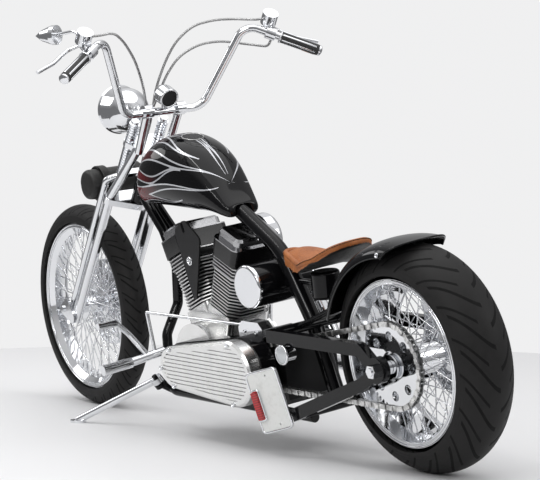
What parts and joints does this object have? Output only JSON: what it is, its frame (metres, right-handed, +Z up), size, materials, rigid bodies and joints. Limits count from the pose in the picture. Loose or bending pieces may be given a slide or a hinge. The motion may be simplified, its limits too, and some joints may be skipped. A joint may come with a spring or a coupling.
{
  "type": "motorcycle",
  "caption": "Chopper motorcycle with a raked springer fork, high bars, an open V-twin engine and wire wheels, leaning on its side stand.",
  "frame": {"origin": "middle of the bounding box, on the floor", "axes": "+X forward along the machine, +Y to the rider's left, +Z up; the machine leans to +Y on its stand, steered slightly right"},
  "size_m": [2.475, 0.997, 1.3284],
  "materials": {
    "gloss_black": "gloss",
    "tank_paint": "gloss",
    "satin_black": "satin",
    "black_fins": "satin",
    "chrome": "mirror",
    "polished_alloy": "polished",
    "steel": "satin",
    "tan_leather": "satin",
    "black_leather": "satin",
    "rubber": "matte",
    "tyre": "matte",
    "clear_glass": "gloss",
    "red_lens": "gloss",
    "plate_white": "satin"
  },
  "bodies": {
    "frame": {"main_frame": "gloss_black", "rear_triangle": "gloss_black", "rear_axle": "chrome", "fuel_tank": "tank_paint", "seat": "tan_leather", "canister": "gloss_black", "rear_fender": "gloss_black", "oil_tank": "gloss_black", "oil_tank_caps": "chrome", "crankcase": "polished_alloy", "cylinders": "black_fins", "cylinder_heads": "black_fins", "cam_cover": "chrome", "air_cleaner": "chrome", "exhaust": "chrome", "coil_cover": "satin_black", "primary_case": "gloss_black", "primary_cover": "polished_alloy", "starter_cover": "chrome", "transmission": "satin_black", "drive_chain": "steel", "number_plate": "plate_white", "tail_lamp": "red_lens", "side_lamp": "chrome", "foot_controls": "chrome", "rear_caliper": "chrome"},
    "fork": {"rigid_fork": "chrome", "spring_fork": "chrome", "fork_springs": "chrome", "front_axle": "chrome", "handlebar": "chrome", "grips": "rubber", "bar_controls": "chrome", "mirror": "chrome", "tool_roll": "black_leather", "front_caliper": "chrome", "clutch_line": "steel", "throttle_cable": "steel", "brake_line": "steel", "headlamp": "chrome", "headlamp_lens": "clear_glass", "gauge": "chrome"},
    "front_wheel": {"front_tyre": "tyre", "front_rim": "chrome", "front_hub": "chrome", "front_spokes": "chrome"},
    "rear_wheel": {"rear_tyre": "tyre", "rear_rim": "chrome", "rear_hub": "chrome", "rear_spokes": "chrome", "rear_sprocket": "steel"},
    "stand": {"side_stand": "chrome"}
  },
  "joints": [
    {"name": "steering", "type": "hinge", "parent": "frame", "child": "fork", "pos_m": [0.51124, -0.07124, 0.70303], "axis": [-0.5878, 0.1182, 0.8003], "range_deg": [-25, 35]},
    {"name": "front_axle_spin", "type": "hinge", "parent": "fork", "child": "front_wheel", "pos_m": [0.8972, -0.13336, 0.33968], "axis": [0.0705, 0.993, -0.0948], "continuous": true},
    {"name": "rear_axle_spin", "type": "hinge", "parent": "frame", "child": "rear_wheel", "pos_m": [-0.90651, -0.1264, 0.32949], "axis": [0, 0.9893, -0.1461], "continuous": true},
    {"name": "side_stand_fold", "type": "hinge", "parent": "frame", "child": "stand", "pos_m": [0.29849, -0.00293, 0.15249], "axis": [0.0659, 0.6446, 0.7617], "range_deg": [0, 115]}
  ]
}
